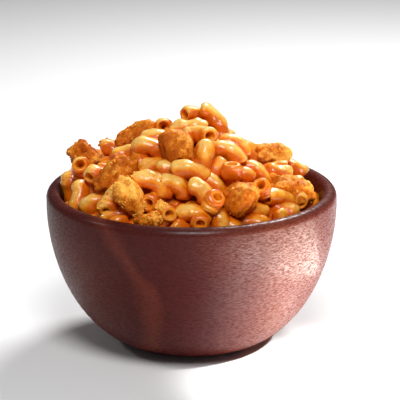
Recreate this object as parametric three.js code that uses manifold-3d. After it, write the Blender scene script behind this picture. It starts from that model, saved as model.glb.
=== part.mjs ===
// A turned wooden bowl heaped with macaroni in cheese sauce and pieces of breaded chicken.
// Millimetres, +Z up. The origin is on the table under the middle of the bowl, and -Y faces the guest.
import * as THREE from "three";
import { mergeVertices } from "three/addons/utils/BufferGeometryUtils.js";
import Module from "manifold-3d";

const wasm = await Module();
wasm.setup();

// ---- Driving dimensions ----

const BOWL = {
  radius: 75, // outside, where the wall stands upright
  height: 82,
  foot: 26, // radius of the flat that it stands on
  upright: 74, // the outside curve ends at this height
  roundness: 1.9, // exponent of the outside curve
  wall: 6.9, // at the rim
  floor: 9,
  well: 16, // radius of the flat inside
  innerUpright: 76,
  outerLip: 4.2,
  innerLip: 2.6,
  segments: 48,
};
const INNER_RADIUS = BOWL.radius - BOWL.wall;

// The food: a dome that is highest off the middle, blunt at the front and steep at the back.
const MOUND = { edge: 80, rise: 44, peakX: -3, peakY: 1, frontSteepness: 1.5, backSteepness: 1 };
// It lies low along the wall at two sides: the middle of each and its half width, in degrees.
const HOLLOWS = {
  at: [
    [4, 34],
    [178, 22],
  ],
  blend: 12,
  from: 44,
  fade: 10,
  depth: 9,
};
const CORE = { peakDepth: 5.5, edgeDepth: 7.5 }; // how far the packed middle lies under the top of the dome
const GAP = 0.4; // between meshes that touch
const CRUST_ROOM = 0.8; // how far the crust's lumps stand out
const NEST = 1.36; // size of the hollow that a piece lies in, as a share of its half sizes

const PASTA = { radius: 4.8, bore: 2.2, boreDepth: 2.5, sides: 6, bends: 4, beads: 5 };
const FILL = { count: 52, tries: 7000, spacing: 0.62, shortest: 16, longest: 19, bendLeast: 75, bendMost: 140 };
const FRESH = 0.35; // a piece of macaroni of which less than this share sticks out is left out
const SETTLE = { slides: 10, slide: 0.5, sinks: 12, rounds: 60, rate: 0.45, hold: 0.05, float: 0.15 };
const SEED = 20417;

// The guest sees the bowl from this far away and this far above the table, in degrees.
const EYE = { tilt: 18.1, distance: 1200, height: 45 };

// Macaroni laid by hand on the guest's side. Across and up are millimetres in the guest's view, from the
// axis of the bowl and from EYE.height, and lift is above the lie of the mound. Turn is the direction of
// the tube in the view, nod brings its far end towards the guest, and roll turns its bulge from the left
// of the tube towards the guest, all in degrees. Then the length and the bend of the tube.
const LAID = [
  // the top of the mound
  [2.4, 70.7, 0, 144, 31, 203, 17, 90],
  [11.4, 68.5, 2, -52, 0, 0, 20, 85],
  [15.3, 60.4, -3, -50, 0, 0, 13, 60],
  [3.6, 62.2, 2, 0, 33, 293, 18, 100],
  [-1.4, 65.1, -2, 5, 0, 0, 18, 60],
  [-14, 65.1, -4, 105, 63, 274, 14, 80],
  [5.9, 51.6, 4, 82, 0, 135, 15, 90],
  [12.7, 51, 0, -80, 0, 20, 18, 90],
  [18.9, 52.3, 1, -25, 10, 20, 17, 90],
  [22.3, 56.3, 1, -30, 0, 0, 16, 120],
  [27.5, 52.3, -1, -75, 0, 0, 15, 110],
  // the right shoulder
  [20.8, 42.1, 2, 87, 61, 92, 17, 70],
  [12.1, 42.2, -2, 60, 0, 90, 16, 90],
  [25.4, 40.6, 1, -5, 0, 20, 12, 120],
  [34, 41.7, 0, -38, 0, 10, 19, 110],
  [36.6, 33.5, 3, 107, 48, 263, 11, 70],
  [43.7, 41.7, 0, 0, 0, 25, 15, 100],
  [52, 43.7, -1, -15, -10, 0, 14, 80],
  [46.5, 27.9, 1, 157, 43, 196, 22, 75],
  [49.7, 21.8, 1, -8, 10, 25, 18, 80],
  [30.4, 21.3, -3, 10, 0, 30, 18, 80],
  [59.7, 28.3, 8, -29, 49, 295, 11, 60],
  // the middle of the front
  [-1.1, 43, 3, -16, 0, 25, 18, 90],
  [10.6, 34.4, 1, -36, 0, 0, 17, 110],
  [4.6, 32.3, 5, -45, 0, 30, 13, 100],
  [11, 26.6, 7, 58, 27, 285, 11, 60],
  [-20.7, 35.9, 4.5, -30, 0, 0, 20, 130],
  [-8.7, 40.6, 0, -36, 0, 10, 22, 80],
  [-17.6, 44.8, -2, 15, 0, 20, 17, 90],
  [-9.2, 34.9, 3.5, -30, 0, 10, 18, 120],
  [-19.4, 29.3, 3, -141, 40, 271, 13, 70],
  [-14.7, 22.8, 7, -35, 46, 271, 12, 60],
  [0.9, 20.3, 4, -15, 0, 20, 16, 110],
  [4.5, 17.7, 6, -79, 49, 275, 13, 60],
  [14.5, 16.1, 1, 100, 0, 150, 14, 90],
  [20, 13.5, -1, -20, 0, 30, 12, 110],
  [36.1, 14, 0, -5, 0, 20, 19, 110],
  // the left shoulder
  [-57.5, 44.3, 8, 99, 55, 276, 14, 90],
  [-60.8, 39.6, 5, 5, 0, 30, 15, 60],
  [-62.1, 33.3, 0, 95, 20, 30, 16, 100],
  [-59.8, 29.1, 2, 80, -20, 100, 17, 80],
  [-54.6, 33.3, 1, 75, 0, 170, 17, 110],
  [-52.5, 26, 4, 18, 0, 30, 16, 110],
  [-40.9, 28.1, 5, -127, 7, 244, 16, 110],
  [-39.5, 19.8, -1, 10, 0, 30, 16, 60],
  [-46.4, 39.6, 1, 159, 22, 216, 18, 120],
  [-47.3, 46.9, -1, 10, 0, 20, 16, 70],
  [-41, 53.4, 2, -35, 0, 10, 15, 110],
  [-32.2, 51.6, -1, -5, 0, 30, 16, 70],
  [-27, 47.9, 0, 85, 0, 70, 18, 60],
  [-21.5, 54.4, 3, -25, 0, 30, 18, 160],
  [-19.7, 46.4, -2, 12, 0, 40, 16, 70],
  [-17.6, 60.4, 0, 0, 0, 30, 15, 80],
];

// Breaded chicken on the guest's side: across, up, lift, turn in the view, half length, half width and
// half depth, and how ragged the crust is.
const CHICKEN_FRONT = [
  [-27, 60.6, 2, 28, 12, 8.6, 8.5, 0.9],
  [-55.5, 51.2, 2, -35, 9.4, 6.5, 7, 1.1],
  [-7.7, 55.8, 5, 110, 10.4, 8, 8.4, 0.6],
  [-39.4, 41, 4, 48, 12.8, 7.2, 7.4, 1],
  [-30.4, 28, 6, -62, 10.8, 5.6, 6.2, 1.2],
  [-24, 19.2, 1, 5, 7, 4.6, 5, 1.3],
  [25.2, 28.6, 4, 45, 9.8, 7.8, 8, 0.7],
  [53.8, 33.4, 4, -17, 13.4, 7.2, 7.4, 1],
  [41.8, 52.2, 2, 0, 9.6, 6.2, 7, 1],
];
// And on the far side: direction from the peak in degrees from +X, and the share of the way to the rim.
const CHICKEN_BACK = [
  [44, 0.86],
  [64, 0.58],
  [88, 0.88],
  [122, 0.56],
  [148, 0.84],
];

// ---- Small helpers ----

const radians = THREE.MathUtils.degToRad;
const vector = (x, y, z) => new THREE.Vector3(x, y, z);

// Draws from 0 to 1 that are the same on every run.
function seededDraw(seed) {
  let state = seed;
  return () => {
    state = (Math.imul(state, 1664525) + 1013904223) >>> 0;
    return state / 4294967296;
  };
}

// A closed three.js geometry as a solid that can be joined and cut.
function solidOf(geometry) {
  const bare = geometry.clone();
  bare.deleteAttribute("normal");
  bare.deleteAttribute("uv");
  const merged = mergeVertices(bare, 1e-4);
  const triVerts = Uint32Array.from(merged.index.array);
  return new wasm.Manifold(
    new wasm.Mesh({ numProp: 3, vertProperties: merged.attributes.position.array, triVerts }),
  );
}

function geometryOf(solid) {
  const { vertProperties, triVerts } = solid.getMesh();
  const geometry = new THREE.BufferGeometry();
  geometry.setAttribute("position", new THREE.BufferAttribute(vertProperties, 3));
  geometry.setIndex(new THREE.BufferAttribute(triVerts, 1));
  geometry.computeVertexNormals();
  return geometry;
}

// A profile of [radius, height] points turned about Z, with the profile running from the bottom up.
function turned(profile, segments) {
  const points = profile.map(([r, z]) => new THREE.Vector2(r, z));
  return new THREE.LatheGeometry(points, segments).rotateX(Math.PI / 2);
}

// ---- The bowl ----

// Points of a bowl curve, from flat at the bottom to upright at the top, set inwards by a gap.
function bowlCurve({ bottom, top, flat, radius, roundness, steps, gap = 0 }) {
  return Array.from({ length: steps + 1 }, (_, i) => {
    const sine = Math.sin((i / steps) * (Math.PI / 2));
    const cosine = Math.cos((i / steps) * (Math.PI / 2));
    const r = flat + (radius - flat) * sine ** (2 / roundness);
    const z = bottom + (top - bottom) * (1 - cosine ** (2 / roundness));
    return [r - gap * sine, z + gap * cosine];
  });
}

const OUTSIDE = {
  bottom: 0,
  top: BOWL.upright,
  flat: BOWL.foot,
  radius: BOWL.radius,
  roundness: BOWL.roundness,
  steps: 8,
};
const INSIDE = {
  bottom: BOWL.floor,
  top: BOWL.innerUpright,
  flat: BOWL.well,
  radius: INNER_RADIUS,
  roundness: 2,
  steps: 4,
};

// A quarter round from one angle to another about a centre.
function roundOver(r, z, size, from, to, steps) {
  return Array.from({ length: steps + 1 }, (_, i) => {
    const angle = radians(from + ((to - from) * i) / steps);
    return [r + size * Math.cos(angle), z + size * Math.sin(angle)];
  });
}

function bowlGeometry() {
  const { radius, height, floor, outerLip, innerLip } = BOWL;
  return turned(
    [
      [0, 0],
      ...bowlCurve(OUTSIDE),
      ...roundOver(radius - outerLip, height - outerLip, outerLip, 0, 90, 3),
      ...roundOver(INNER_RADIUS + innerLip, height - innerLip, innerLip, 90, 180, 2),
      ...bowlCurve(INSIDE).reverse(),
      [0, floor],
    ],
    BOWL.segments,
  );
}

// ---- The lie of the mound ----

// How far the rim of the food is from the peak in a direction.
function reachFromPeak(dx, dy) {
  const { peakX, peakY } = MOUND;
  const along = peakX * dx + peakY * dy;
  return -along + Math.sqrt(along ** 2 + INNER_RADIUS ** 2 - peakX ** 2 - peakY ** 2);
}

// Share of the way from the peak to the wall.
function shareOut(x, y) {
  const dx = x - MOUND.peakX;
  const dy = y - MOUND.peakY;
  const out = Math.hypot(dx, dy);
  return out < 1e-6 ? 0 : out / reachFromPeak(dx / out, dy / out);
}

// Height of the top of the mound.
function moundTop(x, y) {
  const dy = y - MOUND.peakY;
  const toBack = 0.5 + (0.5 * dy) / Math.max(Math.hypot(x - MOUND.peakX, dy), 1e-9);
  const steepness = THREE.MathUtils.lerp(MOUND.frontSteepness, MOUND.backSteepness, toBack);
  return MOUND.edge + MOUND.rise * (1 - shareOut(x, y) ** steepness);
}

// How much lower than the mound the food lies in the hollows along the wall.
function hollowDepth(x, y) {
  const { smoothstep, euclideanModulo, radToDeg } = THREE.MathUtils;
  const inward = smoothstep(Math.hypot(x, y), HOLLOWS.from, HOLLOWS.from + HOLLOWS.fade);
  return HOLLOWS.at.reduce((total, [middle, halfWidth]) => {
    const off = Math.abs(euclideanModulo(radToDeg(Math.atan2(y, x)) - middle + 180, 360) - 180);
    return total + HOLLOWS.depth * smoothstep(halfWidth - off, 0, HOLLOWS.blend) * inward;
  }, 0);
}

// A point of the mound by its direction from the peak and its share of the way to the rim.
function onMound(angle, share, depth) {
  const dx = Math.cos(angle);
  const dy = Math.sin(angle);
  const out = share * reachFromPeak(dx, dy);
  const x = MOUND.peakX + out * dx;
  const y = MOUND.peakY + out * dy;
  return vector(x, y, moundTop(x, y) - depth);
}

const tilt = radians(EYE.tilt);
const VIEW = {
  right: vector(1, 0, 0),
  up: vector(0, Math.sin(tilt), Math.cos(tilt)),
  near: vector(0, -Math.cos(tilt), Math.sin(tilt)),
};

// Where a line of sight meets a surface that lies depth under the mound, or passes closest over it.
function seenOnMound(across, up, depth) {
  const middle = vector(0, 0, EYE.height);
  const eye = middle.clone().addScaledVector(VIEW.near, EYE.distance);
  const start = middle.clone().addScaledVector(VIEW.right, across).addScaledVector(VIEW.up, up);
  const sight = eye.sub(start).normalize();
  const step = 0.5;
  const range = 90;
  let best = null;
  let closest = Infinity;
  for (let t = range; t >= -range; t -= step) {
    const point = start.clone().addScaledVector(sight, t);
    const over = point.z - (moundTop(point.x, point.y) - depth);
    if (over < closest) {
      closest = over;
      best = point;
    }
    if (over <= 0) break;
  }
  return best;
}

// The tube direction and bulge direction of a piece from its turn, nod and roll in the view.
function viewFrame(turn, nod, roll) {
  const [a, p, q] = [turn, nod, roll].map(radians);
  const flat = VIEW.right.clone().multiplyScalar(Math.cos(a)).addScaledVector(VIEW.up, Math.sin(a));
  const along = flat.multiplyScalar(Math.cos(p)).addScaledVector(VIEW.near, Math.sin(p));
  const left = VIEW.right.clone().multiplyScalar(-Math.sin(a)).addScaledVector(VIEW.up, Math.cos(a));
  const front = along.clone().cross(left);
  return { along, bulge: left.multiplyScalar(Math.cos(q)).addScaledVector(front, Math.sin(q)) };
}

// ---- Breaded chicken ----

// Smooth lumps over the unit sphere: a few seeded waves, about -1 to 1.
function lumps(draw, count, pitch) {
  const waves = Array.from({ length: count }, () => ({
    x: (draw() - 0.5) * 2 * pitch,
    y: (draw() - 0.5) * 2 * pitch,
    z: (draw() - 0.5) * 2 * pitch,
    phase: draw() * 2 * Math.PI,
  }));
  const share = Math.sqrt(2 / count);
  return (p) => share * waves.reduce((sum, w) => sum + Math.sin(w.x * p.x + w.y * p.y + w.z * p.z + w.phase), 0);
}

function chickenPieces() {
  const draw = seededDraw(SEED + 1);
  const front = CHICKEN_FRONT.map(([across, up, lift, turn, length, width, depth, ragged]) => {
    const { along, bulge } = viewFrame(turn, 0, 0);
    return { mid: seenOnMound(across, up, depth * 0.8 - lift), along, bulge, half: [length, width, depth], ragged };
  });
  const back = CHICKEN_BACK.map(([angle, share]) => {
    const spin = draw() * 2 * Math.PI;
    const out = radians(angle);
    const along = vector(Math.cos(spin), Math.sin(spin), (draw() - 0.5) * 0.5).normalize();
    const bulge = vector(Math.cos(out), Math.sin(out), 1.5).projectOnPlane(along).normalize();
    const half = [9 + 4 * draw(), 7 + 1.5 * draw(), 7 + draw()];
    return { mid: onMound(out, share, half[2] * 0.4), along, bulge, half, ragged: 0.7 + 0.5 * draw() };
  });
  return spaced([...front, ...back].map((piece) => ({ ...piece, relief: lumps(draw, 9, 6) })));
}

// Three balls that fill a piece of chicken, for keeping the pieces apart.
function chickenBalls(piece) {
  const [length, width, depth] = piece.half;
  const radius = (width + depth) / 2 + CRUST_ROOM;
  const reach = Math.max(length + CRUST_ROOM - radius, 0.5);
  return [-1, 0, 1].map((i) => ({ at: piece.mid.clone().addScaledVector(piece.along, i * reach), radius }));
}

// Moves chicken pieces off each other and inside the wall. Those in front aren't moved by those behind.
function spaced(pieces) {
  for (let round = 0; round < SETTLE.rounds; round++) {
    const balls = pieces.map(chickenBalls);
    pieces.forEach((piece, i) => {
      const push = vector(0, 0, 0);
      for (const ball of balls[i]) {
        balls.forEach((others, j) => {
          if (i === j || (i < CHICKEN_FRONT.length && j >= CHICKEN_FRONT.length)) return;
          for (const other of others) {
            const apart = ball.at.clone().sub(other.at);
            const far = apart.length();
            const room = ball.radius + other.radius;
            if (far < room) push.addScaledVector(apart.divideScalar(far), (room - far) * 0.15);
          }
        });
        const out = Math.hypot(ball.at.x, ball.at.y);
        const over = out + ball.radius - (INNER_RADIUS - GAP);
        if (over > 0) push.add(vector(-ball.at.x / out, -ball.at.y / out, 0).multiplyScalar(over * 0.5));
      }
      piece.mid.add(push);
    });
  }
  return pieces;
}

// Those of the balls that belong to the chicken on the guest's side.
const frontOf = (crusts) => crusts.slice(0, 3 * CHICKEN_FRONT.length);

// How far the crust of a piece reaches in a direction of the unit sphere, as a share of its half sizes.
function crustReach(piece, p) {
  const square = 0.86 + 0.14 / Math.max(Math.abs(p.x), Math.abs(p.y), Math.abs(p.z));
  return square * (1 + 0.09 * piece.ragged * piece.relief(p));
}

// A lumpy, slightly boxy ellipsoid: grow adds to every half size.
function chickenGeometry(piece, grow, detail, reach = crustReach) {
  const geometry = new THREE.IcosahedronGeometry(1, detail);
  const position = geometry.getAttribute("position");
  const across = piece.along.clone().cross(piece.bulge);
  const p = vector(0, 0, 0);
  for (let i = 0; i < position.count; i++) {
    p.fromBufferAttribute(position, i);
    const size = reach(piece, p);
    const [x, y, z] = piece.half.map((h, k) => (h * size + grow) * p.getComponent(k));
    const at = piece.mid.clone().addScaledVector(piece.along, x);
    at.addScaledVector(piece.bulge, y).addScaledVector(across, z);
    position.setXYZ(i, at.x, at.y, at.z);
  }
  return geometry;
}

// ---- Macaroni ----

// A point of the bent middle line of a tube: share runs from -0.5 at the near end to 0.5 at the far one.
function onTube(tube, share) {
  const arc = radians(tube.bend);
  const bendRadius = tube.length / arc;
  const sagitta = bendRadius * (1 - Math.cos(arc / 2));
  const angle = share * arc;
  return tube.mid
    .clone()
    .addScaledVector(tube.along, bendRadius * Math.sin(angle))
    .addScaledVector(tube.bulge, sagitta * 0.5 - bendRadius * (1 - Math.cos(angle)));
}

function tubeBalls(tube) {
  const reach = 0.5 - (0.7 * PASTA.radius) / tube.length;
  return Array.from({ length: PASTA.beads }, (_, i) => onTube(tube, reach * ((2 * i) / (PASTA.beads - 1) - 1)));
}

// Moves a tube level until it is inside the bowl's wall.
function insideWall(tube) {
  const wall = INNER_RADIUS - PASTA.radius - GAP;
  for (let round = 0; round < 20; round++) {
    const balls = tubeBalls(tube);
    const outs = balls.map((at) => Math.hypot(at.x, at.y));
    const out = Math.max(...outs);
    if (out <= wall) return;
    const worst = balls[outs.indexOf(out)];
    tube.mid.add(vector(-worst.x, -worst.y, 0).setLength(out - wall));
  }
}

// Each tube starts where its line of sight meets the mound and slides back along it until it is clear of
// the chicken and of the tubes laid before it, but not far. The ones with the most lift are laid first.
function laidTubes(crusts) {
  const balls = [];
  return [...LAID]
    .sort((a, b) => b[2] - a[2])
    .map(([across, up, lift, turn, nod, roll, length, bend]) => {
      const mid = seenOnMound(across, up, PASTA.radius - lift);
      const tube = { mid, ...viewFrame(turn, nod, roll), length, bend, laid: true };
      insideWall(tube);
      for (let i = 0; i < SETTLE.slides; i++) {
        const own = tubeBalls(tube);
        const clear = clearOf(own, balls, PASTA.radius * 1.5) && clearOfCrusts(own, crusts);
        if (clear) break;
        tube.mid.addScaledVector(VIEW.near, -SETTLE.slide);
        insideWall(tube);
      }
      balls.push(...tubeBalls(tube));
      return tube;
    });
}

const clearOf = (own, others, reach) => own.every((a) => others.every((b) => a.distanceTo(b) > reach));

const clearOfCrusts = (own, crusts) =>
  own.every((a) => crusts.every((crust) => a.distanceTo(crust.at) > crust.radius + PASTA.radius * 0.6));

// A tube that lies anywhere on the dome, a little askew.
function drawnTube(draw, depth) {
  const angle = draw() * 2 * Math.PI;
  const mid = onMound(angle, Math.sqrt(draw()) * 0.94, depth);
  mid.z -= hollowDepth(mid.x, mid.y);
  const turn = draw() * 2 * Math.PI;
  const up = vector(Math.cos(angle) * 0.5, Math.sin(angle) * 0.5, 1).normalize();
  const flat = vector(Math.cos(turn), Math.sin(turn), 0).projectOnPlane(up).normalize();
  const along = flat.addScaledVector(up, (draw() - 0.5) * 0.9).normalize();
  const roll = draw() * 2 * Math.PI;
  const side = along.clone().cross(up).normalize();
  const rise = side.clone().cross(along);
  const bulge = side.multiplyScalar(Math.cos(roll)).addScaledVector(rise, Math.sin(roll));
  const length = FILL.shortest + (FILL.longest - FILL.shortest) * draw();
  const bend = FILL.bendLeast + (FILL.bendMost - FILL.bendLeast) * draw();
  return { mid, along, bulge, length, bend, laid: false };
}

// Whether any ball lies before any of the others in the guest's view.
function hides(own, others) {
  return own.some((a) =>
    others.some(({ at, reach }) => {
      const apart = a.clone().sub(at);
      const near = apart.dot(VIEW.near);
      return near > 0 && Math.sqrt(Math.max(apart.lengthSq() - near ** 2, 0)) < reach;
    }),
  );
}

// Tubes that fall where there is still room and hide none of the laid ones, until there are enough.
function filledIn(laidBalls, crusts) {
  const draw = seededDraw(SEED);
  const balls = [...laidBalls];
  const shown = [
    ...laidBalls.map((at) => ({ at, reach: PASTA.radius * 1.3 })),
    ...frontOf(crusts).map(({ at, radius }) => ({ at, reach: radius })),
  ];
  const found = [];
  for (let i = 0; i < FILL.tries && found.length < FILL.count; i++) {
    const tube = drawnTube(draw, PASTA.radius);
    const own = tubeBalls(tube);
    if (!clearOf(own, balls, 2 * PASTA.radius * FILL.spacing) || !clearOfCrusts(own, crusts)) continue;
    if (hides(own, shown)) continue;
    found.push(tube);
    balls.push(...own);
  }
  return found;
}

// Turns a tube about its middle by a small rotation vector.
function swing(tube, turn) {
  const angle = turn.length();
  if (angle < 1e-9) return;
  const axis = turn.clone().divideScalar(angle);
  tube.along.applyAxisAngle(axis, angle);
  tube.bulge.applyAxisAngle(axis, angle);
}

// Lets the tubes push each other off, away from the laid ones, the chicken and the wall, and hang on to
// where they fell.
function settled(tubes, laidBalls, crusts) {
  const wall = INNER_RADIUS - PASTA.radius - GAP;
  const homes = tubes.map(({ mid }) => mid.clone());
  const depths = homes.map((home) => moundTop(home.x, home.y) - home.z);
  for (let round = 0; round < SETTLE.rounds; round++) {
    const balls = tubes.map(tubeBalls);
    tubes.forEach((tube, i) => {
      const push = vector(0, 0, 0);
      const twist = vector(0, 0, 0);
      const shove = (at, way, size) => {
        const step = way.multiplyScalar(size);
        push.add(step);
        twist.add(at.clone().sub(tube.mid).cross(step));
      };
      const shoveOff = (at, other, room, share) => {
        const apart = at.clone().sub(other);
        const far = apart.length();
        if (far < room) shove(at, apart.divideScalar(far + 1e-6), (room - far) * share);
      };
      for (const at of balls[i]) {
        balls.forEach((others, j) => {
          if (i !== j) others.forEach((other) => shoveOff(at, other, 2 * PASTA.radius, 0.5));
        });
        laidBalls.forEach((other) => shoveOff(at, other, 2 * PASTA.radius, 1));
        crusts.forEach((crust) => shoveOff(at, crust.at, crust.radius + PASTA.radius, 1));
        const out = Math.hypot(at.x, at.y);
        if (out > wall) shove(at, vector(-at.x / out, -at.y / out, 0), (out - wall) * 2);
      }
      push.multiplyScalar(SETTLE.rate / 2).add(homes[i].clone().sub(tube.mid).multiplyScalar(SETTLE.hold));
      const sunk = moundTop(tube.mid.x, tube.mid.y) - depths[i] - tube.mid.z;
      push.z += THREE.MathUtils.clamp(sunk, -1, 1) * SETTLE.float;
      tube.mid.add(push.clampLength(0, 1.2));
      swing(tube, twist.multiplyScalar((SETTLE.rate * 2) / tube.length ** 2).clampLength(0, 0.08));
    });
  }
  return tubes;
}

// Whether any ball stands out over the top of all the others, in the guest's view.
function aboveSkyline(own, others) {
  return own.some((a) => {
    const near = others.filter(({ at }) => Math.abs(a.x - at.x) < PASTA.radius * 0.6);
    const sky = Math.max(-Infinity, ...near.map(({ at, radius }) => at.dot(VIEW.up) + radius));
    return a.dot(VIEW.up) + PASTA.radius > sky - 1;
  });
}

// Lowers the tubes that stand out over all that is laid, until they are out of the guest's sight.
function sunkBehind(tubes, laidBalls, crusts) {
  const others = [...laidBalls.map((at) => ({ at, radius: PASTA.radius })), ...frontOf(crusts)];
  for (const tube of tubes) {
    for (let i = 0; i < SETTLE.sinks; i++) {
      if (aboveSkyline(tubeBalls(tube), others)) tube.mid.z -= 1;
    }
  }
  return tubes;
}

// A bent tube, bored a little way in from both ends.
function tubeGeometry(tube) {
  const { radius, bore, boreDepth, sides, bends } = PASTA;
  const dip = boreDepth / tube.length;
  const stations = [
    { share: -0.5 + dip, radius: bore },
    ...Array.from({ length: bends + 1 }, (_, i) => ({ share: i / bends - 0.5, radius })),
    ...(tube.laid ? [{ share: 0.5, radius: bore }] : []),
    { share: 0.5 - dip, radius: bore },
  ];
  const side = tube.along.clone().cross(tube.bulge);
  const points = [];
  for (const station of stations) {
    const angle = station.share * radians(tube.bend);
    const out = tube.bulge.clone().multiplyScalar(Math.cos(angle)).addScaledVector(tube.along, Math.sin(angle));
    const middle = onTube(tube, station.share);
    for (let k = 0; k < sides; k++) {
      const turn = ((k + 0.5) / sides) * 2 * Math.PI;
      const at = middle.clone().addScaledVector(out, station.radius * Math.cos(turn));
      points.push(at.addScaledVector(side, station.radius * Math.sin(turn)));
    }
  }
  const index = [];
  for (let i = 0; i + 1 < stations.length; i++) {
    for (let k = 0; k < sides; k++) {
      const [a, b] = [i * sides + k, i * sides + ((k + 1) % sides)];
      index.push(a, b, b + sides, a, b + sides, a + sides);
    }
  }
  const last = (stations.length - 1) * sides;
  for (let k = 1; k + 1 < sides; k++) {
    index.push(0, k + 1, k, last, last + k, last + k + 1);
  }
  const geometry = new THREE.BufferGeometry().setFromPoints(points);
  geometry.setIndex(index);
  return geometry;
}

// ---- The heap ----

// What the inside of the bowl leaves free, up past the top of the food.
function roomSolid(gap, segments) {
  const bottom = BOWL.floor + gap;
  const top = 140;
  const wall = bowlCurve({ ...INSIDE, gap });
  return solidOf(turned([[0, bottom], ...wall, [INNER_RADIUS - gap, top], [0, top]], segments));
}

// The packed middle: it fills the bowl and follows the dome.
function coreSolid() {
  const reach = BOWL.radius;
  const steps = 6;
  const rings = Array.from({ length: steps + 1 }, (_, i) => [reach * (1 - i / steps), 200]);
  const geometry = turned([[0, 0], [reach, 0], ...rings], BOWL.segments / 2);
  const position = geometry.getAttribute("position");
  for (let i = 0; i < position.count; i++) {
    if (position.getZ(i) < 199) continue;
    const [x, y] = [position.getX(i), position.getY(i)];
    const depth = CORE.peakDepth + (CORE.edgeDepth - CORE.peakDepth) * shareOut(x, y) ** 2;
    position.setZ(i, moundTop(x, y) - hollowDepth(x, y) - depth);
  }
  return solidOf(geometry).intersect(roomSolid(2 * GAP, BOWL.segments / 2));
}

// Everything in one body: loose scraps and closed bubbles are left out.
function largestBody(solid) {
  return solid.decompose().reduce((best, body) => (body.volume() > best.volume() ? body : best));
}

// The tube moved off the chicken and the wall, or nothing where there is no room for it.
function fitted(tube, chickens, crusts, room) {
  const step = 0.5;
  for (let i = 0; i < 14; i++) {
    const solid = solidOf(tubeGeometry(tube));
    const hit = crusts.findIndex((crust) => solid.intersect(crust).volume() > 1e-4);
    const outside = solid.subtract(room).volume() > 1e-4;
    if (hit < 0 && !outside) return solid;
    if (hit >= 0) tube.mid.add(tube.mid.clone().sub(chickens[hit].mid).setLength(step));
    if (outside) tube.mid.add(vector(-tube.mid.x, -tube.mid.y, 0).setLength(step));
  }
  return null;
}

function heapGeometry(tubes, chickens) {
  const room = roomSolid(GAP, BOWL.segments);
  const crusts = chickens.map((piece) => solidOf(chickenGeometry(piece, GAP, 2)));
  const nests = chickens.map((piece) => solidOf(chickenGeometry(piece, GAP, 1, () => NEST)));
  let heap = wasm.Manifold.difference([coreSolid(), ...nests]);
  for (const tube of tubes) {
    const solid = fitted(tube, chickens, crusts, room);
    if (!solid || solid.subtract(heap).volume() < FRESH * solid.volume()) continue;
    heap = heap.add(solid);
  }
  return geometryOf(largestBody(heap).simplify(0.05));
}

// ---- The parts ----

const chickens = chickenPieces();
const crusts = chickens.flatMap(chickenBalls);
const laid = laidTubes(crusts);
const laidBalls = laid.flatMap(tubeBalls);
const fallen = sunkBehind(settled(filledIn(laidBalls, crusts), laidBalls, crusts), laidBalls, crusts);

const group = new THREE.Group();

function add(name, geometry, color, roughness) {
  const mesh = new THREE.Mesh(geometry, new THREE.MeshStandardMaterial({ color, roughness }));
  mesh.name = name;
  group.add(mesh);
}

add("bowl", bowlGeometry(), 0x7a3b30, 0.4);
add("macaroni_heap", heapGeometry([...laid, ...fallen], chickens), 0xe0912a, 0.4);
chickens.forEach((piece, i) => {
  add(`chicken_${String(i + 1).padStart(2, "0")}`, chickenGeometry(piece, 0, 2), 0xb9651d, 0.8);
});

export default group;
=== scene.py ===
import math

import bpy
import numpy as np
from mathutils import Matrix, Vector


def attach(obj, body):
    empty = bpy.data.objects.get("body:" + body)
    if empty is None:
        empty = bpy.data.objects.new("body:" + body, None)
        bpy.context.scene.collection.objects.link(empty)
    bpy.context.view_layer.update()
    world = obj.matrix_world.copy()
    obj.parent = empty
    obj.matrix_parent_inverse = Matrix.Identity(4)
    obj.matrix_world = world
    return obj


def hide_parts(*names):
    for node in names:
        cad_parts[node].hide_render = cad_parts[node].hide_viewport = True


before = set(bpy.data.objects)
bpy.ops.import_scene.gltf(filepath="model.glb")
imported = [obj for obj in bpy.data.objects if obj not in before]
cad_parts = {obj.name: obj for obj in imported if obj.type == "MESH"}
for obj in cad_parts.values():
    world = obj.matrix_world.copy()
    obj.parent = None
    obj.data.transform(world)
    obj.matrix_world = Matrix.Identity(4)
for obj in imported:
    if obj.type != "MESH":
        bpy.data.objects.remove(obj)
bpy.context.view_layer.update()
print("frame loaded:", len(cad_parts), "nodes")

mm = 0.001


def seededDraw(seed):
    # the same run of numbers from 0 to 1 every time
    state = seed

    def draw():
        nonlocal state
        state = (state * 1664525 + 1013904223) % 4294967296
        return state / 4294967296

    return draw


def latticeNoise(points, size, seed):
    # value noise: random values on a cubic lattice of the given size, blended smoothly, 0 to 1
    cell = np.asarray(points, float) / size
    low = np.floor(cell).astype(np.int64)
    part = cell - low
    part = part * part * (3 - 2 * part)
    total = np.zeros(cell.shape[:-1])
    for dx, dy, dz in np.ndindex(2, 2, 2):
        i, j, k = low[..., 0] + dx, low[..., 1] + dy, low[..., 2] + dz
        h = (i * 374761393 + j * 668265263 + k * 2147483647 + seed * 974634777) & 0x7FFFFFFF
        h = ((h ^ (h >> 13)) * 1274126177) & 0x7FFFFFFF
        h = ((h ^ (h >> 15)) * 461845907) & 0x7FFFFFFF
        value = (h ^ (h >> 16)) / 0x7FFFFFFF
        weight = np.where(dx, part[..., 0], 1 - part[..., 0])
        weight = weight * np.where(dy, part[..., 1], 1 - part[..., 1])
        total += value * weight * np.where(dz, part[..., 2], 1 - part[..., 2])
    return total


def unit(v):
    return v / np.maximum(np.linalg.norm(v, axis=-1, keepdims=True), 1e-12)


def gridFaces(rows, columns, closeRows=False, closeColumns=True):
    # quads of a rows by columns grid of points, joined round where it closes
    i = np.arange(rows if closeRows else rows - 1)[:, None]
    j = np.arange(columns if closeColumns else columns - 1)[None, :]
    nextI, nextJ = (i + 1) % rows, (j + 1) % columns
    here, below = i * columns, nextI * columns
    return np.stack([here + j, here + nextJ, below + nextJ, below + j], -1).reshape(-1, 4)


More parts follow.
